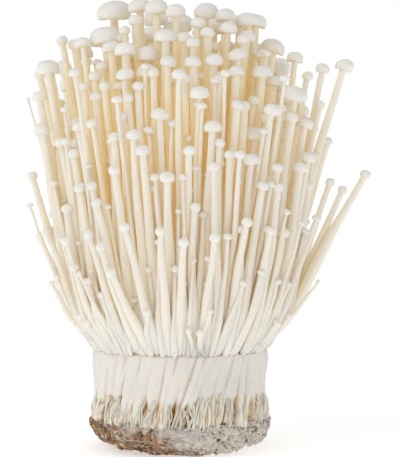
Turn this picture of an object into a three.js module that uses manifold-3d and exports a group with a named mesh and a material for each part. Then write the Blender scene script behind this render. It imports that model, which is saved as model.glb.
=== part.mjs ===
// A cluster of enoki mushrooms, as it comes out of its growing bottle with the collar taken off.
// Millimetres, +Z up. The origin is the middle of the flat patch that it stands on, and -Y is its front.
// From the bottom up: a plug of spent sawdust, the block where the stems have grown together, and the
// mushrooms, which leave the block at the height of the bottle's rim and fan out. They stand in rings round
// a middle one. The front half of the outer ring is separate mushrooms, and the others are tufts of
// neighbours that share a foot.
import * as THREE from "three";
import { mergeVertices } from "three/addons/utils/BufferGeometryUtils.js";
import Module from "manifold-3d";

// ---- Driving dimensions ----

const COLLAR_RADIUS = 29; // the bottle's mouth is 58 mm across
const COLLAR_HEIGHT = 34.5; // where the stems leave the block
const PLUG_HEIGHT = 10.8;
const PLUG_FOOT_RADIUS = 17; // the flat patch it stands on
const JOINT_GAP = 0.3; // between solids that touch

const RINGS = 9; // ring n holds 6 n mushrooms
const RING_PITCH = 3.05;
const BULGE = 0.22; // the stems swell out over the collar by this part of their distance from the axis
const BULGE_HEIGHT = 7; // how soon they do
const FAN = 0.0066; // and fan out by this part of it for each millimetre further up

const DOME_RADIUS = 46; // the tops make a dome that starts here
const DOME_FOOT = 60;
const DOME_TOP = 150;

const ROOT_RADIUS = 1.25; // of a stem at the collar, where they stand shoulder to shoulder
const FULL_HEIGHT = 62; // where a stem has grown to its full width
const NECK_NARROWING = 0.66; // and what is left of it under the cap
const FOOT_HALF_WIDTH = 1.37; // of the slab that joins a tuft's stems
const FOOT_HEIGHT = 0.5;
const MOST_IN_TUFT = 9; // mushrooms that share a foot
const STEM_GAP = 0.35; // clear space between the stems of two mushrooms
const CAP_GAP = 0.4; // and round a cap
const LEAST_CAP = 1.05; // a cap is at least this much wider than its stem

// The mushrooms at the front whose caps show, from the shortest to the tallest:
// how far to the right and how high the middle of the cap is, and the width of the cap.
const FRONT = [
  [-46, 70, 2.6], [-42.5, 72, 3], [-35.5, 70, 2.9], [-31, 60, 1.4], [-28, 72.5, 3.2],
  [-24, 69, 3.4], [-20.5, 61, 2.8], [-16.5, 75, 3.1], [-5.5, 74, 3.1], [1.5, 70.5, 2.5],
  [11, 72, 3.4], [21, 76.5, 3.4], [28.5, 73.5, 2.8], [45, 55.5, 1.2], [-49, 90, 3],
  [-25.5, 82.5, 3.5], [-27, 87.5, 2.6], [-20, 92.5, 3.7], [-3.5, 90.5, 4.3], [11, 93.5, 3.4],
  [26, 87.5, 3.4], [31, 87, 3.1], [31, 93, 3.5], [49.5, 88, 2.6], [53.5, 85.5, 2],
  [61, 90.5, 3.2], [-45.5, 106.5, 3], [-38, 101, 3.9], [-32, 106, 4.1], [-27, 107, 3.5],
  [-20, 103, 4.1], [-18, 109, 3.5], [-14, 103.5, 4.1], [-11, 99, 5.6], [3.5, 98.5, 3.7],
  [10.5, 106, 5], [13, 101, 3.4], [15.5, 97.5, 4], [49, 101.5, 2.6], [-50, 115, 1],
  [-30.5, 119, 4], [-26.5, 116, 4.5], [-23.5, 119, 4.5], [-15.5, 115, 2.9], [-13, 118.5, 3.2],
  [19, 113, 5], [32.5, 112, 4.4], [45.5, 113.5, 3.5], [-46.5, 123.5, 4.6], [-43, 127, 4.6],
  [-37.5, 125, 5.9], [-30, 128, 5.9], [-27, 122.5, 5.8], [-17, 122.5, 5.2], [-8, 123, 4.2],
  [-3.5, 126.5, 5.8], [2, 121, 4.5], [4.5, 126.5, 6.4], [11, 127, 5.2], [12.5, 121.5, 6.7],
  [18, 123.5, 5.8], [18.5, 129, 6.5], [26.5, 123.5, 6.1], [27, 130, 5.9], [38, 129, 5.3],
  [42, 123, 3.5], [47.5, 125.5, 4.6], [54, 126.5, 5.6], [-39, 135, 5.2], [-34.5, 134, 6.6],
  [-24, 135.5, 9.8], [-22, 144.5, 10.9], [-17.5, 137, 4], [-17, 130.5, 6.5], [-14, 141, 7.9],
  [-13, 145.5, 7], [-7.5, 144.5, 7.3], [-4, 134.5, 6.5], [-1, 143.5, 7.9], [4.5, 132.5, 5.2],
  [6, 140, 8.3], [9, 136.5, 7.2], [15, 142.5, 7.6], [15.5, 137.5, 5.9], [20, 141.5, 6.5],
  [25, 141, 6.5], [21.5, 135, 5.2], [31, 133, 9.2],
];

// ---- Helpers ----

// Park and Miller's generator, so that each run grows the same cluster.
function randomFrom(seed) {
  let state = seed;
  return () => (state = (state * 48271) % 2147483647) / 2147483647;
}
const random = randomFrom(2026);
const between = (low, high) => low + (high - low) * random();
const { clamp, lerp, smoothstep } = THREE.MathUtils;

const wasm = await Module();
wasm.setup();

function toSolid(geometry) {
  const bare = geometry.clone();
  bare.deleteAttribute("normal");
  bare.deleteAttribute("uv");
  const merged = mergeVertices(bare);
  return new wasm.Manifold(
    new wasm.Mesh({
      numProp: 3,
      vertProperties: merged.attributes.position.array,
      triVerts: new Uint32Array(merged.index.array),
    }),
  );
}

function toGeometry(solid) {
  const { vertProperties, triVerts } = solid.getMesh();
  const geometry = new THREE.BufferGeometry();
  geometry.setAttribute("position", new THREE.BufferAttribute(vertProperties, 3));
  geometry.setIndex(new THREE.BufferAttribute(triVerts, 1));
  geometry.computeVertexNormals();
  return geometry;
}

// Moves each vertex of a geometry to where `place` puts it.
function reshape(geometry, place) {
  const position = geometry.attributes.position;
  const point = new THREE.Vector3();
  for (let i = 0; i < position.count; i++) {
    place(point.fromBufferAttribute(position, i));
    position.setXYZ(i, point.x, point.y, point.z);
  }
  geometry.computeVertexNormals();
  return geometry;
}

// A turned solid about +Z from [radius, height] pairs that start and end on the axis.
function turned(profile, sides) {
  const points = profile.map(([radius, height]) => new THREE.Vector2(radius, height));
  return new THREE.LatheGeometry(points, sides).rotateX(Math.PI / 2);
}

// ---- The plug of sawdust and the block ----

const PLUG_SIDES = 32;

function substratePlug() {
  const plug = turned(
    [
      [0, 0],
      [PLUG_FOOT_RADIUS, 0],
      [PLUG_FOOT_RADIUS + 6, 1.6],
      [COLLAR_RADIUS - 1.6, 4],
      [COLLAR_RADIUS + 0.6, 6.6],
      [COLLAR_RADIUS + 0.2, PLUG_HEIGHT],
      [0, PLUG_HEIGHT],
    ],
    PLUG_SIDES,
  );
  // The torn edge is lumpy, and both flat faces stay flat.
  return reshape(plug, (point) => {
    const angle = Math.atan2(point.y, point.x);
    const fine = Math.sin(9 * angle + 2 * point.z) + Math.sin(14 * angle - point.z);
    const growth = 1 + 0.012 * (Math.sin(5 * angle + 1) + fine);
    point.x *= growth;
    point.y *= growth;
  });
}

const BLOCK_SIDES = 36;

function fusedBase() {
  const bottom = PLUG_HEIGHT + JOINT_GAP;
  const block = turned(
    [
      [0, bottom],
      [COLLAR_RADIUS + 0.2, bottom],
      [COLLAR_RADIUS - 0.4, bottom + 7],
      [COLLAR_RADIUS - 0.6, bottom + 15],
      [COLLAR_RADIUS, COLLAR_HEIGHT - 1.2],
      [COLLAR_RADIUS + 0.3, COLLAR_HEIGHT],
      [0, COLLAR_HEIGHT],
    ],
    BLOCK_SIDES,
  );
  // Shallow flutes run up it, leaning a little, where the stems have grown together.
  return reshape(block, (point) => {
    const angle = Math.atan2(point.y, point.x) - 0.008 * point.z;
    const growth = 1 + 0.008 * Math.sin(11 * angle) + 0.006 * Math.sin(19 * angle + 1);
    point.x *= growth;
    point.y *= growth;
  });
}

// ---- Where the mushrooms grow ----

// How far out a stem has been carried at a height, as a multiple of its distance from the axis at the collar.
function spreadAt(height) {
  const above = Math.max(height - COLLAR_HEIGHT, 0);
  return 1 + BULGE * (1 - Math.exp(-above / BULGE_HEIGHT)) + FAN * above;
}

// A place on a ring. Slot 0 is at the left end of the front half, and the slots run through the front to
// the right.
function makePlace(ring, slot) {
  const angle = ring && ((slot + 0.5) / (6 * ring) - 0.25) * 2 * Math.PI;
  const radius = ring * RING_PITCH;
  return { ring, slot, root: new THREE.Vector2(radius * Math.sin(angle), -radius * Math.cos(angle)) };
}

const DOME_ROUNDNESS = 2.2; // 2 would be an ellipsoid, and more is fuller
const WISP_CAP_WIDTH = 2; // a cap narrower than this sits on a wisp of a stem
const WISP_RADIUS = 0.6;

// A front mushroom's cap lies on the dome.
function frontTop([right, height, capWidth]) {
  const rise = clamp((height - DOME_FOOT) / (DOME_TOP - DOME_FOOT), 0, 1);
  const depth = Math.sqrt(Math.max(DOME_RADIUS ** 2 * (1 - rise ** DOME_ROUNDNESS) - right ** 2, 0));
  const stemRadius = capWidth < WISP_CAP_WIDTH ? WISP_RADIUS : 1.15 + 0.12 * capWidth * between(0.7, 1.2);
  const spot = new THREE.Vector3(right, -depth, height);
  return { spot, capRadius: capWidth / 2, stemRadius, yields: false };
}

const INNER_HEIGHTS = [134, 144];
const OUTER_HEIGHTS = [66, 122];

// The others follow their ring: the nearer the middle, the taller and the more alike.
function ringTop({ ring, root }) {
  const outwards = (ring / RINGS) ** 3;
  const [lowest, highest] = [0, 1].map((i) => lerp(INNER_HEIGHTS[i], OUTER_HEIGHTS[i], outwards));
  const height = between(lowest, highest);
  const wander = between(0.2, 2);
  const towards = between(0, 2 * Math.PI);
  const spot = new THREE.Vector3(
    root.x * spreadAt(height) + wander * Math.cos(towards),
    root.y * spreadAt(height) + wander * Math.sin(towards),
    height,
  );
  const capRadius = lerp(1.5, 4, smoothstep(height, DOME_FOOT, DOME_TOP)) * between(0.8, 1.25);
  return { spot, capRadius, stemRadius: between(1.35, 2), yields: true };
}

// How far a top lies from where its root's stem would come out by itself, squared.
const leanOf = (top, { root }) =>
  (top.spot.x - root.x * spreadAt(top.spot.z)) ** 2 + (top.spot.y - root.y * spreadAt(top.spot.z)) ** 2;

const LEAST_GAIN = 1e-6;

// Each front top takes the nearest free place, and then tops change places while that makes the stems lean
// less, which leaves none crossing another.
function fillPlaces(places) {
  for (const top of FRONT.map(frontTop)) {
    const free = places.filter((place) => !place.top);
    free.reduce((best, place) => (leanOf(top, place) < leanOf(top, best) ? place : best)).top = top;
  }
  for (const place of places) place.top ??= ringTop(place);
  let moving = true;
  while (moving) {
    moving = false;
    for (const a of places)
      for (const b of places)
        if (leanOf(a.top, b) + leanOf(b.top, a) < leanOf(a.top, a) + leanOf(b.top, b) - LEAST_GAIN) {
          [a.top, b.top] = [b.top, a.top];
          moving = true;
        }
  }
}

// ---- Stems ----

const INNER_LEVELS = [80]; // heights at which an inner stem has a section, as well as at its ends
const OUTER_LEVELS = [41, 62, 96];
const OUTERMOST_INNER_RING = 5;

const LEAST_SECTION_STEP = 6; // between a section and the neck
const LEAN_CURVE = 1.3; // a stem leans more and more towards its top
const FOOT = COLLAR_HEIGHT + JOINT_GAP; // where the stems start

// A stem is squeezed at the collar, and narrower under the cap than halfway.
function stemRadiusAt(stemRadius, height, share) {
  const grown = lerp(Math.min(stemRadius, ROOT_RADIUS), stemRadius, smoothstep(height, FOOT, FULL_HEIGHT));
  return grown * lerp(1, NECK_NARROWING, smoothstep(share, 0.3, 1));
}

function growMushroom({ ring, root, top }) {
  const { spot, capRadius, stemRadius, yields } = top;
  const capHeight = 1 + Math.max(capRadius, stemRadius);
  const neckHeight = spot.z - capHeight / 2;
  const lean = new THREE.Vector2(spot.x, spot.y).addScaledVector(root, -spreadAt(spot.z));
  const levels = ring > OUTERMOST_INNER_RING ? OUTER_LEVELS : INNER_LEVELS;
  const midway = levels.filter((level) => level < neckHeight - LEAST_SECTION_STEP);
  const sections = [FOOT, ...midway, neckHeight].map((height) => {
    const share = (height - FOOT) / (neckHeight - FOOT);
    return {
      x: root.x * (share ? spreadAt(height) : 1) + lean.x * share ** LEAN_CURVE,
      y: root.y * (share ? spreadAt(height) : 1) + lean.y * share ** LEAN_CURVE,
      z: height,
      radius: stemRadiusAt(stemRadius, height, share),
    };
  });
  const topHeight = neckHeight + capHeight;
  return { root, sections, capRadius, capHeight, stemRadius, neckHeight, topHeight, yields };
}

// ---- How they make room for each other ----

const ROUNDS = 80;
const SAMPLE_STEP = 4; // between the heights at which two mushrooms are compared
const LEAST_PUSH = 0.2;
const SWAPPED_WITHIN = 6; // closer than this, two stems may have got onto each other's side
const NEAR = 5 * RING_PITCH; // roots further apart than this never meet above

const neckOf = ({ sections }) => sections[sections.length - 1];
const leastCap = ({ stemRadius }) => LEAST_CAP * stemRadius;
const UNDER_GAP = 1.2; // between a cap and the top of a mushroom that stays under it

// The middle of a mushroom at a height, and how far it reaches there: its stem, or its cap from the neck up.
// It lies between a low and a high section, a share of the way up.
function sliceAt(mushroom, height, capRadius = mushroom.capRadius) {
  const { sections, neckHeight } = mushroom;
  const above = height > neckHeight ? sections.length - 1 : sections.findIndex(({ z }) => z >= height);
  const low = sections[Math.max(above, 1) - 1];
  const high = sections[Math.max(above, 1)];
  const share = clamp((height - low.z) / (high.z - low.z), 0, 1);
  const inCap = height > neckHeight - CAP_GAP;
  return {
    low,
    high,
    share,
    x: lerp(low.x, high.x, share),
    y: lerp(low.y, high.y, share),
    radius: inCap ? capRadius : lerp(low.radius, high.radius, share),
  };
}

// Moves a slice sideways by moving the sections on either side of it. The foot stays where it is.
function shift({ low, high, share }, x, y) {
  if (low.z > FOOT) {
    low.x += x * (1 - share);
    low.y += y * (1 - share);
  }
  high.x += x * share;
  high.y += y * share;
}

// Pushes two mushrooms apart at each height where they come too close.
function separate(a, b) {
  const last = Math.min(a.topHeight, b.topHeight);
  for (let height = FOOT + SAMPLE_STEP; height < last; height += SAMPLE_STEP) {
    const sliceA = sliceAt(a, height, leastCap(a));
    const sliceB = sliceAt(b, height, leastCap(b));
    let gap = new THREE.Vector2(sliceB.x - sliceA.x, sliceB.y - sliceA.y);
    const short = sliceA.radius + sliceB.radius + STEM_GAP - gap.length();
    const rootGap = new THREE.Vector2().subVectors(b.root, a.root);
    if (gap.dot(rootGap) < 0 && gap.length() < SWAPPED_WITHIN) gap = rootGap;
    else if (short <= 0) continue;
    gap.setLength(Math.max(short, LEAST_PUSH) / 2);
    shift(sliceA, -gap.x, -gap.y);
    shift(sliceB, gap.x, gap.y);
  }
}

function makeRoom(mushrooms) {
  const near = (a, b) => a.root.distanceTo(b.root) < NEAR;
  const pairsOf = (a, i) => mushrooms.slice(i + 1).filter((b) => near(a, b)).map((b) => [a, b]);
  const pairs = mushrooms.flatMap(pairsOf);
  for (let round = 0; round < ROUNDS; round++) for (const [a, b] of pairs) separate(a, b);
}

// Cuts a mushroom down, so that its cap is lower.
function lower(mushroom, topHeight) {
  const neckHeight = topHeight - mushroom.capHeight;
  const { x, y } = sliceAt(mushroom, neckHeight);
  const neck = { ...neckOf(mushroom), x, y, z: neckHeight };
  const below = mushroom.sections.filter(({ z }) => z < neckHeight - LEAST_SECTION_STEP);
  Object.assign(mushroom, { sections: [...below, neck], neckHeight, topHeight });
}

// The widest caps get their room: a slimmer mushroom that yields, and would come up through one, stays
// under it.
function stayUnder(mushrooms) {
  for (const wide of [...mushrooms].sort((p, q) => q.capRadius - p.capRadius))
    for (const slim of mushrooms) {
      const isClear = slim.capRadius >= wide.capRadius || slim.topHeight < wide.neckHeight;
      if (!slim.yields || isClear) continue;
      const neck = neckOf(wide);
      const slice = sliceAt(slim, wide.neckHeight, leastCap(slim));
      const apart = Math.hypot(neck.x - slice.x, neck.y - slice.y);
      if (apart < wide.capRadius + slice.radius + CAP_GAP) lower(slim, wide.neckHeight - UNDER_GAP);
    }
}

// A cap grows as wide as it wants to, or until it meets a stem or another cap.
function growCaps(mushrooms) {
  const wanted = new Map(mushrooms.map((mushroom) => [mushroom, mushroom.capRadius]));
  for (const mushroom of mushrooms) mushroom.capRadius = leastCap(mushroom);
  for (const a of [...mushrooms].sort((p, q) => q.topHeight - p.topHeight)) {
    let room = wanted.get(a);
    const neck = neckOf(a);
    for (const b of mushrooms)
      for (const height of [a.neckHeight - CAP_GAP, a.neckHeight, a.topHeight, a.topHeight + CAP_GAP]) {
        if (a === b || height > b.topHeight) continue;
        const slice = sliceAt(b, height);
        room = Math.min(room, Math.hypot(neck.x - slice.x, neck.y - slice.y) - slice.radius - CAP_GAP);
      }
    a.capRadius = Math.max(leastCap(a), room);
    a.capHeight = 1 + a.capRadius;
  }
}

// ---- Solids of the mushrooms ----

const UP = new THREE.Vector3(0, 0, 1);
const MOST_TILT = 0.5; // radians that a cap leans over

// A cap sits square on its stem, so it leans as the last stretch of the stem does.
function capTilt({ sections }) {
  const [below, neck] = sections.slice(-2);
  const along = new THREE.Vector3(neck.x - below.x, neck.y - below.y, neck.z - below.z).normalize();
  const full = new THREE.Quaternion().setFromUnitVectors(UP, along);
  return new THREE.Quaternion().rotateTowards(full, MOST_TILT);
}

// The stem and the domed cap are one turned solid, bent along the stem's sections.
function mushroomGeometry(mushroom, sides) {
  const { sections, capRadius, capHeight, neckHeight } = mushroom;
  const neck = neckOf(mushroom);
  const stem = sections.map(({ radius, z }) => [radius, z]);
  const cap = [
    [capRadius, neckHeight + 0.3 * capHeight],
    [0.72 * capRadius, neckHeight + 0.8 * capHeight],
    [0, neckHeight + capHeight],
  ];
  const tilt = capTilt(mushroom);
  return reshape(turned([[0, sections[0].z], ...stem, ...cap], sides), (point) => {
    const height = point.z;
    if (height > neckHeight + 1e-3) {
      point.z -= neckHeight;
      point.applyQuaternion(tilt).add(neck);
    } else {
      const centre = sliceAt(mushroom, height);
      point.x += centre.x;
      point.y += centre.y;
    }
  });
}

// The foot of a tuft is a slab along its ring, or a disc in the middle.
function footGeometry(first, last) {
  const shape = new THREE.Shape();
  const radius = first.ring * RING_PITCH;
  if (first.ring === 1) shape.absarc(0, 0, radius + FOOT_HALF_WIDTH, 0, 2 * Math.PI);
  else {
    const overhang = FOOT_HALF_WIDTH / radius;
    const start = Math.atan2(first.root.y, first.root.x) - overhang;
    let end = Math.atan2(last.root.y, last.root.x) + overhang;
    if (end < start) end += 2 * Math.PI;
    shape.absarc(0, 0, radius + FOOT_HALF_WIDTH, start, end);
    shape.absarc(0, 0, radius - FOOT_HALF_WIDTH, end, start, true);
  }
  const slab = new THREE.ExtrudeGeometry(shape, { depth: FOOT_HEIGHT, bevelEnabled: false, curveSegments: 3 });
  return slab.translate(0, 0, COLLAR_HEIGHT + JOINT_GAP);
}

const OUTER_SIDES = 5;
const INNER_SIDES = 4;

function tuftGeometry(members) {
  const outer = members.filter(({ place }) => place.ring > 0);
  const foot = toSolid(footGeometry(outer[0].place, outer.at(-1).place));
  const sides = outer[0].place.ring > OUTERMOST_INNER_RING ? OUTER_SIDES : INNER_SIDES;
  const solids = members.map((member) => toSolid(mushroomGeometry(member, sides)));
  return toGeometry(solids.reduce((joined, solid) => joined.add(solid), foot));
}

// ---- The cluster ----

const flesh = new THREE.MeshStandardMaterial({ color: 0xf0e7d3, roughness: 0.5, metalness: 0 });
const fusedFlesh = new THREE.MeshStandardMaterial({ color: 0xe9e4dc, roughness: 0.6, metalness: 0 });
const sawdust = new THREE.MeshStandardMaterial({ color: 0x9c8a78, roughness: 0.95, metalness: 0 });

const cluster = new THREE.Group();
const numbered = (word, number) => word + "_" + String(number).padStart(2, "0");
function addPiece(name, geometry, material) {
  const mesh = new THREE.Mesh(geometry, material);
  mesh.name = name;
  cluster.add(mesh);
}

addPiece("substrate_plug", substratePlug(), sawdust);
addPiece("fused_base", fusedBase(), fusedFlesh);

const places = [makePlace(0, 0)];
for (let ring = 1; ring <= RINGS; ring++)
  for (let slot = 0; slot < 6 * ring; slot++) places.push(makePlace(ring, slot));
fillPlaces(places);

const mushrooms = places.map((place) => ({ place, ...growMushroom(place) }));
makeRoom(mushrooms);
stayUnder(mushrooms);
makeRoom(mushrooms);
growCaps(mushrooms);

const isFront = ({ place }) => place.ring === RINGS && place.slot < 3 * RINGS;
mushrooms.filter(isFront).forEach((mushroom, i) => {
  addPiece(numbered("mushroom", i + 1), mushroomGeometry(mushroom, OUTER_SIDES), flesh);
});

// The rest of a ring is divided evenly into tufts. The middle mushroom belongs to the first ring's tuft.
const tufts = [];
for (let ring = 1; ring <= RINGS; ring++) {
  const inRing = mushrooms.filter((mushroom) => mushroom.place.ring === ring && !isFront(mushroom));
  const count = Math.ceil(inRing.length / MOST_IN_TUFT);
  for (let i = 0; i < count; i++)
    tufts.push(inRing.slice((i * inRing.length) / count, ((i + 1) * inRing.length) / count));
}
tufts[0].push(mushrooms[0]);
tufts.forEach((members, i) => addPiece(numbered("tuft", i + 1), tuftGeometry(members), flesh));

export default cluster;
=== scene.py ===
"""The looks of a cluster of enoki mushrooms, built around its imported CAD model.

Every mushroom in the frame is read back from its CAD solid as a centre line, stem radii and a cap, and is
grown again as a fine mesh in its place. Young mushrooms fill the gaps that are left. Then come the fused
block with its ridges and clefts, the crumbly plug under it, the materials, and a plain pale studio.
Metres throughout.
"""

import math

import bpy
import numpy as np
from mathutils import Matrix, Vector, noise


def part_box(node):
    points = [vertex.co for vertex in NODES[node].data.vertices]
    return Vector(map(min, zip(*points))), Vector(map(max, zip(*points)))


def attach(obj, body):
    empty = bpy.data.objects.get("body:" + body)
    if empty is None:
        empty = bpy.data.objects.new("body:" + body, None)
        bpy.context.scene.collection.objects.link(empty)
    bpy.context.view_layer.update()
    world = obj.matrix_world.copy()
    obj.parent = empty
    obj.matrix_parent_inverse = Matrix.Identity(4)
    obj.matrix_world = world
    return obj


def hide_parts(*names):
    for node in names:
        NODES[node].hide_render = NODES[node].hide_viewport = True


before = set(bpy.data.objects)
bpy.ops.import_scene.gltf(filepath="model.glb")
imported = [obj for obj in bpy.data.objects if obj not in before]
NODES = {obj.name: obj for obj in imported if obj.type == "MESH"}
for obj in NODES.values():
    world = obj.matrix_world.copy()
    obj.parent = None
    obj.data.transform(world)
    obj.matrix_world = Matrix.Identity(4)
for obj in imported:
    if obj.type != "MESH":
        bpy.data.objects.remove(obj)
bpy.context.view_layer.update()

# ---- Driving dimensions ----

MM = 0.001
BLOCK_LOW, BLOCK_HIGH = (np.array(corner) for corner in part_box("fused_base"))
PLUG_LOW, PLUG_HIGH = (np.array(corner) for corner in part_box("substrate_plug"))
COLLAR_HEIGHT = BLOCK_HIGH[2]
COLLAR_RADIUS = 0.5 * (BLOCK_HIGH[0] - BLOCK_LOW[0])
PLUG_HEIGHT = PLUG_HIGH[2]
FOOT_TOP = COLLAR_HEIGHT + 0.9 * MM  # the slabs that join the feet of a tuft end below this

YOUNG_TRIES = 5000  # for each of the two kinds of young mushroom
SHORT_YOUNG = 110  # at most so many short ones, at the very edge
TALL_YOUNG = 330  # and so many anywhere
SHORT_PRESS = 0.75 * MM  # how far the short ones may press into their neighbours
TALL_PRESS = 0.4 * MM
YOUNG_HEIGHT = 110 * MM  # a young mushroom this tall has the widest stem and cap
YOUNG_LEAN = 2.2 * MM

STEM_STEP = 3 * MM  # between the rings of a stem
STEM_ROOT_DEPTH = 3 * MM  # how far a stem reaches down into the block
WOBBLE = 0.35 * MM
PRESSED = 0.25 * MM  # stems close up by this much against their neighbours
FLARE = 0.45 * MM  # and by this much more at the collar, where they are fused
FLARE_HEIGHT = 8 * MM
SLIMMING = 0.8  # a stem's foot against that of its solid, because young stems fill the gaps
FLUTES = 0.11  # how deep the furrows are along the low part of a stem
CAP_LEAN = 0.09
CAP_SWELL = 1.06  # a cap bulges this much beyond the solid it is read from
CAP_SLIP = 0.1  # how far off its stem a cap's top may be, as a part of its radius
INNER_SIDE_SHADE = 0.6  # how much deeper in the cluster the inner side of a stem counts than its outer side, in the painted amber shade and glow
SAME_POINT = 0.002 * MM  # corners of a solid this close together are one

random = np.random.default_rng(58)


def smoothstep(value, low, high):
    share = np.clip((value - low) / (high - low), 0, 1)
    return share * share * (3 - 2 * share)


# ---- Reading the mushrooms back from the frame ----

class Mushroom:
    """A mushroom: its stem's centres and radii from root to neck, and its cap's axis, radius and height.

    fused is how much it closes up against its neighbours. depth is 0 on the outside of the cluster, 1 inside.
    """

    def __init__(self, centres, radii, cap_axis, cap_radius, cap_height, fused=1.0):
        self.centres = centres
        self.radii = radii
        self.cap_axis = cap_axis
        self.cap_radius = cap_radius
        self.cap_height = cap_height
        self.fused = fused
        self.depth = 1 - smoothstep(np.hypot(*centres[0, :2]), 0.5 * COLLAR_RADIUS, 0.93 * COLLAR_RADIUS)
        self.tone = random.random()

    def at(self, heights):
        """The stem's middle and radius at some heights, on a smooth curve through its sections."""
        knots = self.centres[:, 2]
        return np.column_stack([smooth_curve(knots, self.centres[:, :2], heights), heights]), np.interp(
            heights, knots, self.radii
        )


def smooth_curve(knots, values, where):
    """A cubic through values at knots, with the slope at each knot that its neighbours suggest."""
    slopes = np.gradient(values, knots, axis=0)
    index = np.clip(np.searchsorted(knots, where) - 1, 0, len(knots) - 2)
    width = knots[index + 1] - knots[index]
    t = np.clip((where - knots[index]) / width, -0.6, 1)[:, None]
    width = width[:, None]
    return (
        (2 * t**3 - 3 * t**2 + 1) * values[index]
        + (t**3 - 2 * t**2 + t) * width * slopes[index]
        + (3 * t**2 - 2 * t**3) * values[index + 1]
        + (t**3 - t**2) * width * slopes[index + 1]
    )


def merged_graph(mesh):
    """A mesh's corners with doubles merged, and the set of neighbours of each."""
    corners = np.array([vertex.co for vertex in mesh.vertices])
    keys, merged = np.unique(np.round(corners / SAME_POINT).astype(int), axis=0, return_inverse=True)
    merged = merged.ravel()
    neighbours = [set() for _ in keys]
    for edge in mesh.edges:
        a, b = (merged[i] for i in edge.vertices)
        if a != b:
            neighbours[a].add(b)
            neighbours[b].add(a)
    points = np.zeros((len(keys), 3))
    points[merged] = corners
    return points, neighbours


def read_mushrooms(node):
    """The mushrooms of a CAD node. Each is a stack of rings over the foot: its stem's, two of its cap, a tip."""
    points, neighbours = merged_graph(NODES[node].data)
    in_foot = points[:, 2] < FOOT_TOP
    waiting = set(np.flatnonzero(~in_foot))
    found = []
    lowest_first = sorted(waiting, key=lambda i: points[i, 2])
    for start in lowest_first:
        if start not in waiting:
            continue
        members = {start}
        edge = {start}
        while edge:
            edge = {j for i in edge for j in neighbours[i] if not in_foot[j]} - members
            members |= edge
        waiting -= members
        root = {j for i in members for j in neighbours[i] if in_foot[j]}
        rings = [root]
        seen = set(root)
        ring = {i for i in members if neighbours[i] & root}
        while ring:
            rings.append(ring)
            seen |= ring
            ring = {j for i in ring for j in neighbours[i] if j in members} - seen
        found.append(mushroom_of([points[sorted(ring)] for ring in rings]))
    return found


def mushroom_of(rings):
    """A mushroom from its rings of corners, root first and the cap's tip last."""
    *stem, rim, _, tip = rings
    centres = np.array([ring.mean(0) for ring in stem])
    radii = np.array([np.linalg.norm(ring - ring.mean(0), axis=1).mean() for ring in stem])
    radii *= np.linspace(SLIMMING, 1, len(radii))
    axis = tip[0] - centres[-1]
    height = np.linalg.norm(axis)
    cap_radius = np.linalg.norm(rim - rim.mean(0), axis=1).mean()
    return Mushroom(centres, radii, axis / height, cap_radius, height)


# ---- Young mushrooms in the gaps ----

SAMPLE_HEIGHTS = COLLAR_HEIGHT + np.arange(3, 112, 3) * MM


class Crowd:
    """Where the stems and caps of all the mushrooms so far are, at the sample heights."""

    def __init__(self, mushrooms):
        self.middles = np.zeros((0, len(SAMPLE_HEIGHTS), 2))
        self.reaches = np.zeros((0, len(SAMPLE_HEIGHTS)))
        for mushroom in mushrooms:
            self.add(mushroom)

    def slices(self, mushroom):
        neck = mushroom.centres[-1, 2]
        top = neck + mushroom.cap_height
        middles, reach = mushroom.at(np.clip(SAMPLE_HEIGHTS, None, neck))
        reach = np.where(SAMPLE_HEIGHTS > neck - MM, mushroom.cap_radius, reach)
        reach = np.where(SAMPLE_HEIGHTS > top, -1, reach)
        return middles[:, :2], reach

    def add(self, mushroom):
        middles, reach = self.slices(mushroom)
        self.middles = np.concatenate([self.middles, middles[None]])
        self.reaches = np.concatenate([self.reaches, reach[None]])

    def has_room_for(self, mushroom, press):
        middles, reach = self.slices(mushroom)
        apart = np.linalg.norm(self.middles - middles, axis=2)
        clash = apart < self.reaches + reach - press
        return not np.any(clash & (self.reaches > 0) & (reach > 0))


def root_distance(mushroom):
    """How far a mushroom's root is from the middle of the cluster."""
    return np.hypot(*mushroom.centres[0, :2])


def spread_table(mushrooms):
    """How far out a stem has been carried at the sample heights, against its distance at the root."""
    outer = [m for m in mushrooms if root_distance(m) > 0.6 * COLLAR_RADIUS]
    spread = []
    for height in SAMPLE_HEIGHTS:
        tall = [m for m in outer if m.centres[-1, 2] > height]
        if len(tall) > 5:
            middles = [m.at(np.array([height]))[0][0, :2] for m in tall]
            spread.append(np.median([np.hypot(*middle) / root_distance(m) for middle, m in zip(middles, tall)]))
        else:
            spread.append(spread[-1] + 0.02)
    return np.array(spread)


def short_place():
    """How far out a short mushroom stands, as a part of the collar's radius, and how tall it is."""
    return random.uniform(0.965, 1.0), random.uniform(6, 48) * MM


def tall_place():
    """The same for a mushroom that may be anywhere. The furthest out are the shortest."""
    out = 0.975 - 0.7 * random.random() ** 2
    return out, random.uniform(9, 104 - 36 * out**4) * MM


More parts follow.
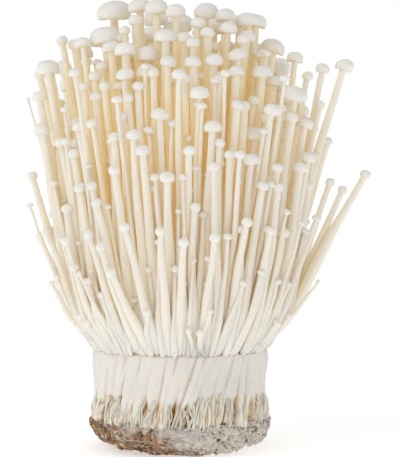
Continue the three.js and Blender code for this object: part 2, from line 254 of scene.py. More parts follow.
def young_mushroom(spread, out, rise):
    """A random thin mushroom that follows the stems around it."""
    angle = random.uniform(0, 2 * math.pi)
    root = out * COLLAR_RADIUS * np.array([math.cos(angle), math.sin(angle)])
    tallness = rise / YOUNG_HEIGHT
    stem_radius = random.uniform(0.6, 1.0 + 0.35 * tallness) * MM
    cap_radius = stem_radius * random.uniform(1.15, 1.5) + 0.5 * tallness * MM
    levels = np.linspace(COLLAR_HEIGHT, COLLAR_HEIGHT + rise, 7)
    known_heights = np.concatenate([[COLLAR_HEIGHT], SAMPLE_HEIGHTS])
    wide = np.interp(levels, known_heights, np.concatenate([[1], spread]))
    share = np.linspace(0, 1, len(levels))
    lean = random.normal(0, YOUNG_LEAN, 2)
    centres = np.column_stack([wide[:, None] * root + lean * share[:, None] ** 1.3, levels])
    radii = stem_radius * np.interp(share, [0, 0.3, 1], [0.9, 1, 0.72])
    axis = centres[-1] - centres[-2]
    return Mushroom(centres, radii, axis / np.linalg.norm(axis), cap_radius, 1.35 * cap_radius, fused=0.4)


def grow_young(mushrooms):
    """Young mushrooms where there is room for them: short ones round the edge first, and then any."""
    crowd = Crowd(mushrooms)
    spread = spread_table(mushrooms)
    young = []
    kinds = (short_place, SHORT_YOUNG, SHORT_PRESS), (tall_place, TALL_YOUNG, TALL_PRESS)
    for choose_place, most, press in kinds:
        accepted = 0
        for _ in range(YOUNG_TRIES):
            candidate = young_mushroom(spread, *choose_place())
            if accepted < most and crowd.has_room_for(candidate, press):
                crowd.add(candidate)
                young.append(candidate)
                accepted += 1
    return young


# ---- Meshes ----

class Surface:
    """Corners, faces and per-corner values that grow into one mesh."""

    def __init__(self, *values):
        self.corners = []
        self.faces = []
        self.values = {name: [] for name in values}
        self.count = 0

    def add(self, corners, faces, **values):
        self.corners.append(corners)
        self.faces.extend([tuple(int(i) + self.count for i in face) for face in faces])
        for name, value in values.items():
            self.values[name].append(np.broadcast_to(value, len(corners)))
        self.count += len(corners)

    def to_object(self, name, material):
        mesh = bpy.data.meshes.new(name)
        mesh.from_pydata(np.concatenate(self.corners).tolist(), [], self.faces)
        mesh.polygons.foreach_set("use_smooth", [True] * len(mesh.polygons))
        for key, parts in self.values.items():
            attribute = mesh.attributes.new(key, "FLOAT", "POINT")
            attribute.data.foreach_set("value", np.concatenate(parts).astype(np.float32))
        mesh.materials.append(material)
        piece = bpy.data.objects.new(name, mesh)
        bpy.context.scene.collection.objects.link(piece)
        return piece


def tube_faces(rings, sides):
    """The faces of a closed tube of rings, with one corner at each end: the very first and the very last."""
    faces = [(0, 1 + (j + 1) % sides, 1 + j) for j in range(sides)]
    for i in range(rings - 1):
        low = 1 + i * sides
        high = low + sides
        for j in range(sides):
            k = (j + 1) % sides
            faces.append((low + j, low + k, high + k, high + j))
    last = 1 + rings * sides
    faces += [(last - sides + j, last - sides + (j + 1) % sides, last) for j in range(sides)]
    return faces


# The underside of a small and of a wide cap, from the neck to the rim, as pairs of how far across the overhang
# and how high, as parts of the cap.
BEAD_UNDERSIDE = np.array([(0.15, 0.02), (0.45, 0.05), (0.72, 0.11), (0.9, 0.19), (0.98, 0.29)])
WIDE_UNDERSIDE = np.array([(0.15, 0.11), (0.4, 0.12), (0.66, 0.06), (0.84, 0.06), (0.95, 0.15)])
BEAD_RIM = 0.45
WIDE_RIM = 0.33
DOME_TURNS = np.radians([0, 12, 25, 38, 50, 62, 73, 82])
GILLED_FROM = 2.6 * MM  # caps wider than this show their gills
GILL_DEPTH = 0.13 * MM
RIM_DROOP = 0.05  # how unevenly a wide cap's rim hangs, as a part of its radius
CAP_SIDES = 20
WIDE_CAP_SIDES = 48


def cap_profile(neck_radius, cap_radius, cap_height, fullness):
    """The cap's outline from the neck, under the rolled rim and over the dome, as radius and height pairs."""
    wide = smoothstep(cap_radius, 1.6 * MM, 3.4 * MM)
    underside = BEAD_UNDERSIDE + (WIDE_UNDERSIDE - BEAD_UNDERSIDE) * wide
    rim = BEAD_RIM + (WIDE_RIM - BEAD_RIM) * wide
    under_radii = neck_radius + underside[:, 0] * (cap_radius - neck_radius)
    dome_radii = cap_radius * np.cos(DOME_TURNS) ** fullness
    dome_heights = rim + (1 - rim) * np.sin(DOME_TURNS)
    heights = np.concatenate([underside[:, 1], dome_heights]) * cap_height
    return np.column_stack([np.concatenate([under_radii, dome_radii]), heights])


def stem_line(mushroom):
    """A stem's heights, its wandering middle, its radii, which swell at the collar, and how far up each is."""
    low = mushroom.centres[0, 2]
    neck = mushroom.centres[-1, 2]
    heights = np.linspace(low, neck, max(8, round((neck - low) / STEM_STEP)))
    heights = np.concatenate([[low - STEM_ROOT_DEPTH], heights])
    middles, radii = mushroom.at(heights)
    share = np.clip((heights - low) / (neck - low), 0, 1)
    phases = random.uniform(0, 2 * math.pi, 4)
    calm = WOBBLE * np.sin(math.pi * share)
    middles[:, 0] += calm * (np.sin(5 * share + phases[0]) + 0.4 * np.sin(11 * share + phases[1]))
    middles[:, 1] += calm * (np.sin(5 * share + phases[2]) + 0.4 * np.sin(11 * share + phases[3]))
    radii = radii * (1 + 0.05 * np.sin(9 * share + phases[1]) + 0.03 * np.sin(17 * share + phases[2]))
    pressed = PRESSED * (1 - smoothstep(share, 0.4, 0.9))
    radii += mushroom.fused * (pressed + FLARE * np.exp(-np.clip(heights - low, 0, None) / FLARE_HEIGHT))
    radii[0] *= 0.4
    middles[0, :2] *= 0.96
    return heights, middles, radii, share


def tilted(axis):
    """The axis, leaning a little at random."""
    leaning = axis + np.append(random.normal(0, CAP_LEAN, 2), 0)
    return leaning / np.linalg.norm(leaning)


def ring_axes(normals):
    """Two directions across each ring, square to its normal and to each other."""
    right = np.cross([0, 1, 0], normals)
    right /= np.linalg.norm(right, axis=1)[:, None]
    return right, np.cross(normals, right)


def out_of_round(angles, share, profile):
    """How much each corner of the rings reaches out beyond a true circle, and the phase of the cap's lobes."""
    in_cap = np.arange(len(share) + len(profile)) >= len(share)
    oval_phase, lobe_phase = random.uniform(0, 2 * math.pi, 2)
    oval = np.where(in_cap, 0.045, random.uniform(0, 0.12))[:, None] * np.cos(2 * angles + oval_phase)
    lobes = np.where(in_cap, 0.03, 0.02)[:, None] * np.cos(3 * angles + lobe_phase)
    flute_depth = np.append(FLUTES * (1 - smoothstep(share, 0.15, 0.8)), np.zeros(len(profile)))
    flutes = flute_depth[:, None] * np.cos(random.integers(4, 6) * angles + 2 * oval_phase)
    return 1 + oval + lobes + flutes, lobe_phase


def shade_glow_mask(mushroom, heights, facing_out):
    """Painted amber shade and glow for each corner of a stem, from 0 to 1: more inside the cluster and on its
    inner side. It fades towards the foot and the cap.
    """
    inwards = 0.5 - 0.5 * facing_out
    deep = np.clip(mushroom.depth + INNER_SIDE_SHADE * inwards, 0, 1)
    deep *= smoothstep(heights, COLLAR_HEIGHT - 3 * MM, COLLAR_HEIGHT + 14 * MM)[:, None]
    deep *= 1 - 0.6 * smoothstep(heights, heights[-1] - 12 * MM, heights[-1])[:, None]
    return deep


def add_mushroom(surface, mushroom):
    """A mushroom's stem and cap as one closed tube: rings square to the stem's line, then the cap's."""
    cap_radius = mushroom.cap_radius * CAP_SWELL
    cap_height = mushroom.cap_height
    gilled = cap_radius > GILLED_FROM
    sides = WIDE_CAP_SIDES if gilled else CAP_SIDES
    heights, middles, radii, share = stem_line(mushroom)
    profile = cap_profile(radii[-1], cap_radius, cap_height, random.uniform(0.72, 0.98))
    axis = tilted(mushroom.cap_axis)
    along = np.gradient(middles, axis=0)
    along /= np.linalg.norm(along, axis=1)[:, None]
    turn = smoothstep(share, 0.88, 1)[:, None]
    along = along * (1 - turn) + axis * turn

    up_cap = profile[:, 1:] / cap_height
    slip = np.append(random.normal(0, CAP_SLIP, 2) * cap_radius, 0)
    centres = np.concatenate([middles, middles[-1] + profile[:, 1:] * axis + up_cap**2 * slip])
    normals = np.concatenate([along, np.repeat(axis[None], len(profile), 0)])
    normals /= np.linalg.norm(normals, axis=1)[:, None]
    right, back = ring_axes(normals)
    angles = 2 * math.pi * np.arange(sides) / sides
    roundness, lobe_phase = out_of_round(angles, share, profile)
    reach = np.concatenate([radii, profile[:, 0]])[:, None] * roundness
    rings = centres[:, None] + (reach * np.cos(angles))[:, :, None] * right[:, None]
    rings += (reach * np.sin(angles))[:, :, None] * back[:, None]
    if gilled:
        underside = len(middles)
        gills = GILL_DEPTH * (-1.0) ** np.arange(sides)
        droop = RIM_DROOP * cap_radius * np.cos(2 * angles + lobe_phase)
        rings[underside + 1:underside + 4] += gills[:, None] * axis
        rings[underside + 2:underside + 7] += droop[:, None] * axis
    tip = middles[-1] + cap_height * axis + slip
    corners = np.concatenate([centres[:1], rings.reshape(-1, 3), tip[None]])

    # Painted shade and glow: how far inside the cluster each stem stands, and how far each corner faces inwards,
    # sets its amber.
    outwards = np.append(centres[0, :2] / np.hypot(*centres[0, :2]), 0)
    facing_out = np.cos(angles) * (right @ outwards)[:, None] + np.sin(angles) * (back @ outwards)[:, None]
    stem_shade_glow = shade_glow_mask(mushroom, heights, facing_out[:len(middles)])
    cap_shade_glow = np.full(len(profile) * sides, 0.2 * mushroom.depth)
    surface.add(
        corners,
        tube_faces(len(centres), sides),
        along=for_corners(np.concatenate([share, np.ones(len(profile))]), sides),
        cap=for_corners(np.concatenate([np.zeros(len(middles)), np.linspace(0.35, 1, len(profile))]), sides),
        deep=np.concatenate([[0], stem_shade_glow.ravel(), cap_shade_glow, [0]]),
        tone=mushroom.tone,
    )


def for_corners(ring_values, sides):
    """One value for each corner of a closed tube, from one for each of its rings."""
    return np.concatenate([ring_values[:1], np.repeat(ring_values, sides), ring_values[-1:]])


# ---- Materials ----

class Paint:
    """A new Principled material and short ways to add nodes to it."""

    def __init__(self, name):
        self.material = bpy.data.materials.new(name)
        self.material.use_nodes = True
        self.tree = self.material.node_tree
        self.shader = self.tree.nodes["Principled BSDF"]
        self.place = self.node("ShaderNodeTexCoord").outputs["Object"]

    def node(self, kind, **settings):
        made = self.tree.nodes.new(kind)
        for key, value in settings.items():
            setattr(made, key, value)
        return made

    def feed(self, socket, value):
        if isinstance(value, bpy.types.NodeSocket):
            self.tree.links.new(value, socket)
        else:
            socket.default_value = (*value, 1) if isinstance(value, tuple) and len(value) == 3 else value

    def attribute(self, name):
        return self.node("ShaderNodeAttribute", attribute_name=name).outputs["Fac"]

    def stretched(self, x, y, z):
        """The object's coordinates, multiplied."""
        mapping = self.node("ShaderNodeMapping")
        self.feed(mapping.inputs["Vector"], self.place)
        mapping.inputs["Scale"].default_value = (x, y, z)
        return mapping.outputs["Vector"]

    def noise(self, vector, scale, detail=3.0, roughness=0.5):
        made = self.node("ShaderNodeTexNoise")
        self.feed(made.inputs["Vector"], vector)
        made.inputs["Scale"].default_value = scale
        made.inputs["Detail"].default_value = detail
        made.inputs["Roughness"].default_value = roughness
        return made.outputs["Fac"]

    def grains(self, vector, scale):
        made = self.node("ShaderNodeTexVoronoi")
        self.feed(made.inputs["Vector"], vector)
        made.inputs["Scale"].default_value = scale
        return made.outputs["Distance"], made.outputs["Color"]

    def ramp(self, value, *stops):
        """A colour ramp through (position, colour) stops."""
        made = self.node("ShaderNodeValToRGB")
        self.feed(made.inputs["Fac"], value)
        elements = made.color_ramp.elements
        while len(elements) < len(stops):
            elements.new(0.5)
        for element, (position, colour) in zip(elements, stops):
            element.position = position
            element.color = (*colour, 1)
        return made.outputs["Color"]

    def span(self, value, low, high, new_low=0.0, new_high=1.0):
        """Maps low to high onto new_low to new_high, clamped."""
        made = self.node("ShaderNodeMapRange")
        for name, number in zip(("Value", "From Min", "From Max", "To Min", "To Max"),
                                (value, low, high, new_low, new_high)):
            self.feed(made.inputs[name], number)
        return made.outputs["Result"]

    def math(self, operation, a, b):
        made = self.node("ShaderNodeMath", operation=operation)
        self.feed(made.inputs[0], a)
        self.feed(made.inputs[1], b)
        return made.outputs["Value"]

    def mix(self, amount, a, b, blend="MIX"):
        made = self.node("ShaderNodeMix", data_type="RGBA", blend_type=blend)
        colours = [socket for socket in made.inputs if socket.type == "RGBA"]
        self.feed(made.inputs["Factor"], amount)
        self.feed(colours[0], a)
        self.feed(colours[1], b)
        return next(socket for socket in made.outputs if socket.type == "RGBA")

    def finish(self, colour, roughness, height, depth, subsurface, glow):
        """Sets the shader. height is a relief from 0 to 1, depth is its size, and light wanders glow inside."""
        bump = self.node("ShaderNodeBump")
        bump.inputs["Strength"].default_value = 0.7
        bump.inputs["Distance"].default_value = depth
        self.feed(bump.inputs["Height"], height)
        self.feed(self.shader.inputs["Normal"], bump.outputs["Normal"])
        self.feed(self.shader.inputs["Base Color"], colour)
        self.feed(self.shader.inputs["Roughness"], roughness)
        self.shader.inputs["Subsurface Weight"].default_value = subsurface
        self.shader.inputs["Subsurface Radius"].default_value = (1.0, 0.92, 0.84)
        self.shader.inputs["Subsurface Scale"].default_value = glow
        self.shader.inputs["Specular IOR Level"].default_value = 0.4
        return self.material


def mushroom_material():
    """Cream stems with faint fibres along them, painted amber shade and a painted amber glow inside the cluster,
    and whiter caps with painted shade under them.
    """
    paint = Paint("mushroom_flesh")
    along = paint.attribute("along")
    cap = paint.attribute("cap")
    fibres = paint.noise(paint.stretched(1, 1, 0.03), 1900, 4, 0.6)
    blotches = paint.noise(paint.place, 120, 3, 0.55)
    stem = paint.ramp(
        along,
        (0.0, (0.925, 0.89, 0.84)),
        (0.2, (0.915, 0.88, 0.825)),
        (0.6, (0.91, 0.86, 0.79)),
        (1.0, (0.93, 0.885, 0.82)),
    )
    stem = paint.mix(paint.span(fibres, 0.4, 0.7, 0.0, 0.3), stem, (0.92, 0.84, 0.68))
    stem = paint.mix(paint.span(blotches, 0.45, 0.75, 0.0, 0.35), stem, (0.925, 0.90, 0.86))
    stem = paint.mix(paint.span(paint.attribute("tone"), 0.0, 1.0, 0.0, 0.35), stem, (0.92, 0.86, 0.73))
    # Painted shade: stems inside the cluster and their inner sides turn amber, standing in for the warm light
    # that scatters between the stems.
    deep = paint.attribute("deep")
    stem = paint.mix(paint.span(deep, 0.0, 1.0, 0.0, 0.9), stem, (0.975, 0.865, 0.61))
    speck = paint.span(paint.noise(paint.place, 650, 2, 0.5), 0.72, 0.76)
    near_foot = paint.span(along, 0.03, 0.16, 1.0, 0.0)
    stem = paint.mix(paint.math("MULTIPLY", speck, near_foot), stem, (0.72, 0.5, 0.26))
    # Painted shade: a cap's underside is amber by the neck and turns cream towards the rim.
    dome = paint.ramp(
        cap,
        (0.3, (0.96, 0.86, 0.66)),
        (0.5, (0.94, 0.90, 0.82)),
        (0.75, (0.95, 0.92, 0.87)),
        (1.0, (0.94, 0.905, 0.85)),
    )
    dome = paint.mix(paint.span(blotches, 0.5, 0.8, 0.0, 0.45), dome, (0.94, 0.87, 0.76))
    colour = paint.mix(paint.span(cap, 0.0, 0.3), stem, dome)
    roughness = paint.span(blotches, 0.2, 0.8, 0.42, 0.6)
    # Painted glow: a faint amber emission inside the cluster, though the flesh is no lamp.
    paint.shader.inputs["Emission Color"].default_value = (1.0, 0.82, 0.53, 1)
    glow = paint.math("MULTIPLY", deep, paint.span(along, 0.15, 0.6, 0.085, 0.045))
    paint.feed(paint.shader.inputs["Emission Strength"], glow)
    return paint.finish(colour, roughness, fibres, depth=0.12 * MM, subsurface=0.5, glow=2.5 * MM)


def block_material():
    """White felt over fused stems, yellow-brown in the clefts and towards the plug, with painted shade in the
    grooves between the strands.
    """
    paint = Paint("fused_flesh")
    stain = paint.attribute("stain")
    low = paint.attribute("low")
    fibres = paint.noise(paint.stretched(1, 1, 0.08), 1300, 5, 0.65)
    felt = paint.noise(paint.place, 700, 4, 0.6)
    patches = paint.noise(paint.place, 90, 3, 0.5)
    white = paint.mix(paint.span(fibres, 0.35, 0.7), (0.865, 0.835, 0.79), (0.85, 0.80, 0.715))
    white = paint.mix(paint.span(patches, 0.4, 0.65, 0.0, 0.5), white, (0.795, 0.765, 0.73))
    yellowed = paint.math("MULTIPLY", low, paint.span(fibres, 0.3, 0.6, 0.45, 1.0))
    white = paint.mix(yellowed, white, (0.97, 0.90, 0.72))
    amber = paint.mix(paint.span(felt, 0.35, 0.65), (0.80, 0.61, 0.34), (0.44, 0.25, 0.11))
    # Amber by the attribute: stain in the clefts and crease, and painted shade in the grooves between the
    # strands.
    colour = paint.mix(paint.span(stain, 0.12, 0.75), white, amber)
    soil = paint.math("MULTIPLY", paint.span(low, 0.82, 1.0), paint.span(felt, 0.45, 0.6))
    colour = paint.mix(paint.math("MULTIPLY", soil, 0.6), colour, (0.58, 0.44, 0.28))
    relief = paint.math("ADD", paint.math("MULTIPLY", fibres, 0.7), paint.math("MULTIPLY", felt, 0.3))
    roughness = paint.span(felt, 0.2, 0.8, 0.55, 0.8)
    return paint.finish(colour, roughness, relief, depth=0.3 * MM, subsurface=0.45, glow=2 * MM)


def plug_material():
    """Damp sawdust and bran: brown grains and dark specks, grey-white where the mycelium grows through."""
    paint = Paint("sawdust")
    distance, cells = paint.grains(paint.place, 750)
    fine = paint.noise(paint.place, 2200, 4, 0.7)
    patches = paint.noise(paint.place, 130, 4, 0.65)
    shade = paint.node("ShaderNodeSeparateColor")
    paint.feed(shade.inputs["Color"], cells)
    grain = paint.ramp(
        shade.outputs["Red"],
        (0.0, (0.10, 0.05, 0.03)),
        (0.2, (0.27, 0.145, 0.07)),
        (0.55, (0.38, 0.225, 0.12)),
        (0.85, (0.54, 0.38, 0.24)),
        (1.0, (0.78, 0.69, 0.56)),
    )
    web = paint.mix(paint.span(fine, 0.35, 0.65), (0.86, 0.82, 0.765), (0.60, 0.53, 0.46))
    mould = paint.math("MULTIPLY", paint.attribute("mould"), 0.6)
    cover = paint.math("ADD", paint.math("MULTIPLY", patches, 0.9), mould)
    colour = paint.mix(paint.span(cover, 0.55, 0.84), grain, web)
    dark = paint.span(paint.noise(paint.place, 620, 3, 0.6), 0.56, 0.62)
    dark = paint.math("MULTIPLY", dark, paint.span(patches, 0.4, 0.6, 0.9, 0.3))
    colour = paint.mix(dark, colour, (0.10, 0.065, 0.045))
    relief = paint.math("ADD", paint.math("MULTIPLY", distance, 0.6), paint.math("MULTIPLY", fine, 0.5))
    roughness = paint.span(fine, 0.2, 0.8, 0.75, 0.98)
    return paint.finish(colour, roughness, relief, depth=0.9 * MM, subsurface=0.05, glow=0.5 * MM)


# ---- The fused block ----

BLOCK_SIDES = 560
BLOCK_ROWS = 140
FELT_HEIGHT = 20 * MM  # how far the felt climbs between the feet of the stems, above the crease
FELT_PROUD = 0.9 * MM  # how far out from the outer stems' middles it starts
FELT_SINK = 6.5 * MM  # and how much further in it ends
STEM_WINDOW = 0.09  # the angle to each side over which it follows the stems
BLOCK_UNDER = 1.2 * MM  # how far the block reaches down over the plug
THREADS = 260
CREASE_SPECKS = 150
STRAND_OVERLAP = 1.12
CLEFT_DEPTH = 2.6 * MM
CREASE_UP = 0.965  # where the crease is, as a part of the way up to the collar
CREASE_WIDTH = 0.024
# Going up the block, as pairs of how far up and a value: the depth of the grooves in millimetres, how open the
# clefts are, and how far the outline stands out in millimetres.
GROOVES = ((0, 2.6), (0.12, 2.4), (0.3, 1.9), (0.5, 1.5), (0.75, 1.2), (0.92, 1.2), (1, 1.3))
OPENNESS = ((0, 0.7), (0.05, 1), (0.26, 0.75), (0.42, 0))
WAIST = (
    (0, 0.5), (0.05, 0.8), (0.3, 0.1), (0.6, 0), (0.88, 0.4),
    (0.93, 0.4), (0.96, -0.7), (0.98, -0.6), (1.01, 0.9), (1.05, 1.3),
)


def noise_at(points, size, seed):
    """Smooth noise, about -1 to 1, with features of this size."""
    shift = Vector((seed * 7.13, seed * 3.71, seed * 5.37))
    return np.array([noise.noise(Vector(point) / size + shift) for point in points])


def noise_round(angles, size, seed):
    """The same round the cluster, one value for each angle, with features of this part of its radius."""
    return noise_at(np.column_stack([np.cos(angles), np.sin(angles), 0 * angles]), size, seed)


def strands_round():
    """Strands side by side all the way round.

    Each has an angle, half its width, its slant, how proud it is, and how far up felt starts to cover it.
    """
    strands = []
    angle = 0.0
    while angle < 2 * math.pi:
        half_width = random.uniform(0.7, 2.4) * MM / COLLAR_RADIUS
        slant = 0.27 + 0.26 * noise.noise(Vector((1.4 * math.cos(angle), 1.4 * math.sin(angle), 3.3)))
        slant += random.normal(0, 0.03)
        proud = random.uniform(0.5, 1)
        felted_from = random.uniform(0.3, 1.1)
        strands.append((angle + half_width, STRAND_OVERLAP * half_width, slant, proud, felted_from))
        angle += 2 * half_width
    return strands


def around(offset):
    """An angle, brought to within half a turn of nought."""
    return (offset + math.pi) % (2 * math.pi) - math.pi


def strand_relief(angle, up):
    """How far the strands stand up, 0 to 1. They lean, and lie flatter where felt covers them."""
    relief = np.zeros(angle.shape)
    for start, half_width, slant, proud, felted_from in strands_round():
        sway = 0.02 * np.sin(5 * up + 40 * start)
        across = around(angle - start - slant * (up - 0.5) - sway) / half_width
        crest = proud * np.sqrt(np.clip(1 - across**2, 0, 1))
        covered = smoothstep(up, felted_from - 0.2, felted_from + 0.2)
        relief = np.maximum(relief, crest * (1 - 0.3 * covered))
    return relief


def stems_edge(mushrooms, angles, heights):
    """How far from the middle the outermost stems stand, in each direction at each height over the collar."""
    total = np.zeros((len(heights), len(angles)))
    weights = np.full(total.shape, 1e-9)
    heights = np.maximum(heights, COLLAR_HEIGHT)
    for mushroom in mushrooms:
        if root_distance(mushroom) > 0.9 * COLLAR_RADIUS:
            middles, _ = mushroom.at(np.minimum(heights, mushroom.centres[-1, 2]))
            away = around(angles - np.arctan2(middles[:, 1], middles[:, 0])[:, None])
            weight = np.exp(-((away / STEM_WINDOW) ** 2))
            total += weight * np.hypot(middles[:, 0], middles[:, 1])[:, None]
            weights += weight
    return np.where(weights > 0.01, total / weights, COLLAR_RADIUS)


def going_up(table, up):
    """A table's value at each height."""
    ups, values = zip(*table)
    return np.interp(up, ups, values)


def block_surface(mushrooms):
    """The block: slanting strands under a white felt, which climbs a little way up between the stems.

    Near the plug it opens into clefts crossed by threads.
    """
    angles = 2 * math.pi * np.arange(BLOCK_SIDES) / BLOCK_SIDES - math.pi
    bottom = BLOCK_LOW[2] - BLOCK_UNDER
    heights = np.linspace(bottom, COLLAR_HEIGHT + FELT_HEIGHT, BLOCK_ROWS)
    angle, height = np.meshgrid(angles, heights)
    up = (height - bottom) / (COLLAR_HEIGHT - bottom)
    up_to_crease = up + 0.02 * noise_round(angles, 0.3, 11)

    points = np.column_stack([np.cos(angle).ravel(), np.sin(angle).ravel(), height.ravel() / COLLAR_RADIUS])
    broad = noise_at(points, 0.3, 1).reshape(angle.shape)
    fibre = noise_at(points * [1, 1, 0.16], 0.04, 2).reshape(angle.shape)
    fuzz = noise_at(points, 0.05, 3).reshape(angle.shape)
    holes = noise_at(points * [1, 1, 0.45], 0.2, 4).reshape(angle.shape)

    groove = 1 - strand_relief(angle, up)
    openness = going_up(OPENNESS, up)
    cleft = np.clip((holes + 0.04) * 3.6, 0, 1) * openness * np.clip(1.6 * groove, 0.2, 1)
    climb = np.clip((height - COLLAR_HEIGHT) / FELT_HEIGHT, 0, 1)
    shell = COLLAR_RADIUS - 0.45 * MM + going_up(WAIST, up_to_crease) * MM
    felt = stems_edge(mushrooms, angles, heights) + FELT_PROUD - FELT_SINK * climb**2.5
    shell += smoothstep(climb, 0, 0.25) * (felt - shell)
    radius = shell - groove * going_up(GROOVES, up) * MM - cleft * CLEFT_DEPTH
    radius += (0.8 * broad + 0.22 * fibre + 0.15 * fuzz) * MM
    ragged = noise_round(angles, 0.12, 5) * MM
    height = height + (1.6 * np.clip(1 - up, 0, 1) ** 4 + 6 * climb**2) * ragged

    crease = np.exp(-(((up_to_crease - CREASE_UP) / CREASE_WIDTH) ** 2))
    crease *= np.clip(0.5 + 2.2 * fuzz + 0.9 * holes, 0, 1)
    # Real stain in the clefts, low down and in the crease; the groove terms are painted shade between the
    # strands.
    stain = 0.9 * cleft + (0.35 * groove + 0.2 * (fuzz - 0.1)) * openness + 0.3 * groove**2
    surface = closed_grid(
        np.stack([radius * np.cos(angle), radius * np.sin(angle), height], axis=2),
        stain=np.maximum(np.clip(stain, 0, 1), 0.9 * crease),
        low=np.clip(1 - up / 0.45, 0, 1),
    )
    for _ in range(THREADS):
        add_thread(surface, bottom)
    for _ in range(CREASE_SPECKS):
        add_crease_speck(surface)
    return surface


def add_crease_speck(surface):
    """A brown crumb in the crease."""
    turn = random.uniform(0, 2 * math.pi)
    spot = np.array([math.cos(turn), math.sin(turn), 0]) * (COLLAR_RADIUS - random.uniform(0.2, 1) * MM)
    spot[2] = COLLAR_HEIGHT - random.uniform(-0.5, 1.8) * MM
    add_chip(surface, spot, random.uniform(0.15, 0.45) * MM, stain=1, low=0.3)


def add_thread(surface, bottom):
    """A thin root that hangs from the felt, crosses the clefts and ends on the plug."""
    rise = COLLAR_HEIGHT - bottom
    start = random.uniform(0, 2 * math.pi)
    tuft = noise.noise(Vector((5 * math.cos(start), 5 * math.sin(start), 9)))
    up = np.linspace(0.3 + 0.16 * tuft + random.uniform(-0.08, 0.08), random.uniform(-0.03, 0.08), 10)
    share = np.linspace(0, 1, len(up))
    curl = random.uniform(0.003, 0.018) * np.sin(random.uniform(2, 7) * share + random.uniform(0, 6))
    angle = start - random.normal(0.03, 0.025) * share + curl
    sunk = np.interp(share, [0, 0.3, 0.8, 1], [1.6, 0.5, 0.3, 0.9]) * MM
    radius = COLLAR_RADIUS - sunk + random.uniform(-0.5, 0.5) * MM * share
    line = np.column_stack([radius * np.cos(angle), radius * np.sin(angle), bottom + up * rise])
    thick = random.uniform(0.2, 0.5) * MM * np.interp(share, [0, 0.3, 1], [0.7, 1, 0.6])
    add_strand(surface, line, thick, stain=random.uniform(0.0, 0.25), low=0.8)


def add_strand(surface, line, thick, sides=6, **values):
    """A closed tube along a line."""
    along = np.gradient(line, axis=0)
    along /= np.linalg.norm(along, axis=1)[:, None]
    out = line * [1, 1, 0]
    side = np.cross(along, out)
    side /= np.linalg.norm(side, axis=1)[:, None]
    out = np.cross(side, along)
    turns = 2 * math.pi * np.arange(sides) / sides
    rings = line[:, None] + thick[:, None, None] * (
        np.cos(turns)[:, None] * side[:, None] + np.sin(turns)[:, None] * out[:, None]
    )
    corners = np.concatenate([line[:1], rings.reshape(-1, 3), line[-1:]])
    surface.add(corners, tube_faces(len(line), sides), **values)


def closed_grid(grid, **values):
    """A surface of rows of corners going round, lowest row first, closed by a middle corner at each end."""
    rows, sides, _ = grid.shape
    low = np.array([0, 0, grid[0, :, 2].mean()])
    high = np.array([0, 0, grid[-1, :, 2].mean()])
    surface = Surface(*values)
    corners = np.concatenate([low[None], grid.reshape(-1, 3), high[None]])
    flat = {name: np.concatenate([[v[0].mean()], v.ravel(), [v[-1].mean()]]) for name, v in values.items()}
    surface.add(corners, tube_faces(rows, sides), **flat)
    return surface


# ---- The plug ----

PLUG_SIDES = 480
CRUMBS = 4200
HAIRS = 60
# The plug's outline from the middle of its foot to its top edge, as parts of its radius and height.
PLUG_OUTLINE = np.array([
    (0.08, 0), (0.25, 0), (0.42, 0), (0.56, 0), (0.63, 0.04), (0.7, 0.1), (0.77, 0.17), (0.83, 0.25),
    (0.88, 0.34), (0.92, 0.44), (0.955, 0.55), (0.975, 0.66), (0.985, 0.78), (0.98, 0.9), (0.96, 1.0),
    (0.88, 1.0),
])


def plug_surface():
    """The plug as a rough lump with a flat patch to stand on, and crumbs and white hairs stuck to it."""
    knots = np.arange(len(PLUG_OUTLINE))
    fine = np.linspace(0, knots[-1], 5 * len(knots))
    outline = np.column_stack([np.interp(fine, knots, PLUG_OUTLINE[:, i]) for i in (0, 1)])
    angles = 2 * math.pi * np.arange(PLUG_SIDES) / PLUG_SIDES
    angle, row = np.meshgrid(angles, np.arange(len(outline)))
    reach = outline[row, 0] * 0.5 * (PLUG_HIGH[0] - PLUG_LOW[0])
    height = outline[row, 1] * PLUG_HEIGHT
    points = np.stack([reach * np.cos(angle), reach * np.sin(angle), height], axis=2).reshape(-1, 3)
    lumps = noise_at(points, 7 * MM, 6).reshape(angle.shape)
    clods = noise_at(points, 2.4 * MM, 7).reshape(angle.shape)
    grain = noise_at(points, 0.8 * MM, 8).reshape(angle.shape)
    free = smoothstep(outline[row, 0], 0.5, 0.75) * np.interp(outline[row, 1], [0, 0.9, 1], [1, 1, 0.3])
    swell = (2.2 * lumps + 1.0 * clods + 0.55 * grain) * MM * free
    reach = reach + np.clip(swell, -3 * MM, 1.1 * MM)
    height = height - 0.7 * swell * (outline[row, 1] < 0.5)
    grid = np.stack([reach * np.cos(angle), reach * np.sin(angle), np.maximum(height, 0)], axis=2)
    mould = 0.3 + 0.6 * np.cos(angle + 0.15) + 0.35 * smoothstep(outline[row, 1], 0.5, 0.9)
    surface = closed_grid(grid, mould=mould)
    for _ in range(CRUMBS):
        add_crumb(surface, grid, mould)
    for _ in range(HAIRS):
        add_hair(surface, grid)
    return surface


def add_hair(surface, grid):
    """A white hair of mycelium that lies along the plug."""
    row = random.integers(int(0.45 * len(grid)), len(grid) - 4)
    first = random.integers(grid.shape[1])
    steps = np.arange(8)
    columns = (first + steps * random.integers(2, 6)) % grid.shape[1]
    wander = np.round(5 * np.sin(steps / 2.5 + random.uniform(0, 6))).astype(int)
    rows = np.clip(row + wander, 0, len(grid) - 2)
    line = grid[rows, columns] * [1.008, 1.008, 1]
    line[1:-1] = (line[:-2] + line[1:-1] + line[2:]) / 3
    add_strand(surface, line, np.full(len(line), random.uniform(0.08, 0.15) * MM), sides=5, mould=1.6)


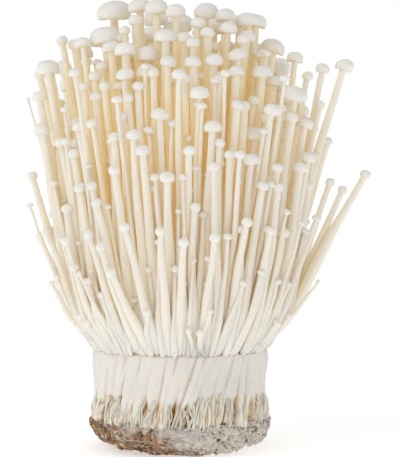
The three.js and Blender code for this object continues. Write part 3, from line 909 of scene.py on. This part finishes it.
def add_crumb(surface, grid, mould):
    """A chip of sawdust, half sunk in the side of the plug."""
    row = random.integers(int(0.3 * len(grid)), len(grid) - 3)
    side = random.integers(grid.shape[1])
    size = random.uniform(0.25, 0.6) * MM * (1 + (random.random() < 0.15))
    spot = grid[row, side] * [0.99, 0.99, 1]
    spot[2] = np.clip(spot[2], size, PLUG_HEIGHT)
    add_chip(surface, spot, size, mould=mould[row, side] * random.uniform(0, 1))


def add_chip(surface, spot, size, **values):
    """A small angular chip with eight faces."""
    shape = random.normal(0, 1, (6, 3))
    shape *= size / np.linalg.norm(shape, axis=1)[:, None]
    axes = np.array([[1, 0, 0], [-1, 0, 0], [0, 1, 0], [0, -1, 0], [0, 0, 1], [0, 0, -1]]) * size
    corners = spot + 0.7 * axes + 0.3 * shape
    faces = [(0, 2, 4), (2, 1, 4), (1, 3, 4), (3, 0, 4), (2, 0, 5), (1, 2, 5), (3, 1, 5), (0, 3, 5)]
    surface.add(corners, faces, **values)


# ---- The pieces ----

flesh = mushroom_material()
mushroom_nodes = sorted(node for node in NODES if node.startswith(("mushroom_", "tuft_")))
grown = []
for node in mushroom_nodes:
    members = read_mushrooms(node)
    grown += members
    surface = Surface("along", "cap", "deep", "tone")
    for member in members:
        add_mushroom(surface, member)
    piece = surface.to_object("fine_" + node, flesh)
    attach(piece, "root")
    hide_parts(node)

SECTORS = 12
young = grow_young(grown)
by_sector = [[] for _ in range(SECTORS)]
for mushroom in young:
    turn = math.atan2(mushroom.centres[0, 1], mushroom.centres[0, 0]) / (2 * math.pi) % 1
    by_sector[int(turn * SECTORS) % SECTORS].append(mushroom)
for number, members in enumerate(by_sector, 1):
    if members:
        surface = Surface("along", "cap", "deep", "tone")
        for member in members:
            add_mushroom(surface, member)
        piece = surface.to_object(f"young_mushrooms_{number:02d}", flesh)
        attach(piece, "root")

block = block_surface(grown + young).to_object("ridged_base", block_material())
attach(block, "root")
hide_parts("fused_base")

plug = plug_surface().to_object("crumbly_plug", plug_material())
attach(plug, "root")
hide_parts("substrate_plug")


# ---- Studio ----

SKY_LIGHT = 0.57
LIGHT_BOUNCES = 12  # light has to find its way out between the stems


def add_floor():
    """A wide pale floor."""
    mesh = bpy.data.meshes.new("floor")
    half = 6.0
    corners = [(-half, -half, 0), (half, -half, 0), (half, half, 0), (-half, half, 0)]
    mesh.from_pydata(corners, [], [(0, 1, 2, 3)])
    floor = bpy.data.objects.new("floor", mesh)
    bpy.context.scene.collection.objects.link(floor)
    material = bpy.data.materials.new("floor")
    material.use_nodes = True
    shader = material.node_tree.nodes["Principled BSDF"]
    shader.inputs["Base Color"].default_value = (0.88, 0.88, 0.88, 1)
    shader.inputs["Roughness"].default_value = 0.9
    shader.inputs["Emission Color"].default_value = (1, 1, 1, 1)
    shader.inputs["Emission Strength"].default_value = 0.46
    mesh.materials.append(material)


def add_sun(name, direction, strength, softness):
    """A soft sun that shines from this direction, evenly over the whole floor."""
    light = bpy.data.lights.new(name, "SUN")
    light.energy = strength
    light.angle = math.radians(softness)
    light.color = (1.0, 0.99, 0.975)
    lamp = bpy.data.objects.new(name, light)
    lamp.rotation_euler = Vector(direction).to_track_quat("Z", "Y").to_euler()
    bpy.context.scene.collection.objects.link(lamp)


def add_world():
    """A white backdrop that lights the cluster at part of the strength that the camera sees."""
    world = bpy.data.worlds.new("studio")
    world.use_nodes = True
    nodes = world.node_tree.nodes
    links = world.node_tree.links
    sky = nodes["Background"]
    sky.inputs["Color"].default_value = (1, 1, 1, 1)
    path = nodes.new("ShaderNodeLightPath")
    strength = nodes.new("ShaderNodeMapRange")
    strength.inputs["To Min"].default_value = SKY_LIGHT
    strength.inputs["To Max"].default_value = 1.0
    links.new(path.outputs["Is Camera Ray"], strength.inputs["Value"])
    links.new(strength.outputs["Result"], sky.inputs["Strength"])
    bpy.context.scene.world = world


def add_camera():
    """A long lens in front of the cluster, a little above its middle, looking slightly down."""
    lens = bpy.data.cameras.new("camera")
    lens.lens = 142.8
    lens.sensor_width = 36
    lens.clip_start = 0.01
    camera = bpy.data.objects.new("camera", lens)
    camera.location = (6.6 * MM, -600 * MM, 100 * MM)
    aim = Vector((6.6 * MM, 0, 72.5 * MM))
    camera.rotation_euler = (aim - camera.location).to_track_quat("-Z", "Y").to_euler()
    bpy.context.scene.collection.objects.link(camera)
    bpy.context.scene.camera = camera


add_floor()
add_world()
add_sun("key", (-0.75, -0.55, 0.75), strength=0.55, softness=50)
add_camera()
bpy.context.scene.cycles.diffuse_bounces = LIGHT_BOUNCES
bpy.context.scene.view_settings.view_transform = "Standard"
bpy.context.scene.view_settings.look = "None"
